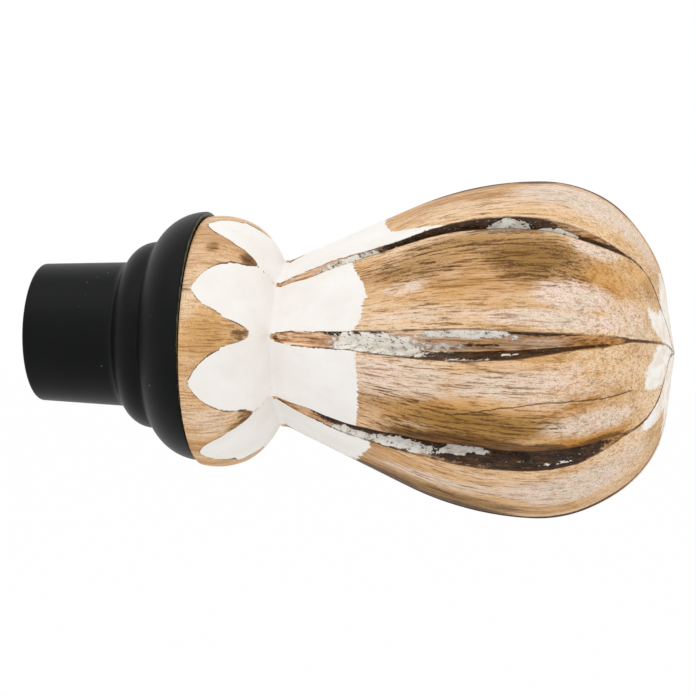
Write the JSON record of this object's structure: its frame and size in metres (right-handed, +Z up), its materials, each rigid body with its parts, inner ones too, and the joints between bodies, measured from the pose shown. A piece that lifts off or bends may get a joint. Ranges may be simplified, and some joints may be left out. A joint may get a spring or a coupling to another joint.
{
  "type": "curtain pole finial",
  "caption": "Curtain pole end: a carved, part-painted wooden bulb with long channels, held in a black metal collar with a round pole socket.",
  "frame": {"origin": "centre of the socket's open mouth, on the axis of the pole", "axes": "+X along the pole's axis towards the tip of the bulb, +Z up, one carved channel faces -Y"},
  "size_m": [0.135, 0.07, 0.07],
  "materials": {
    "carved_wood": "waxed wood with dark stained channels and worn white paint",
    "black_coat": "matte black coat, softly worn at the rim",
    "plated_screw": "zinc plated",
    "dark_screw": "black oxide"
  },
  "bodies": {
    "root": {"carved_bulb": "carved_wood", "collar": "black_coat", "fixing_screw": "plated_screw", "grub_screw": "dark_screw"}
  },
  "joints": []
}
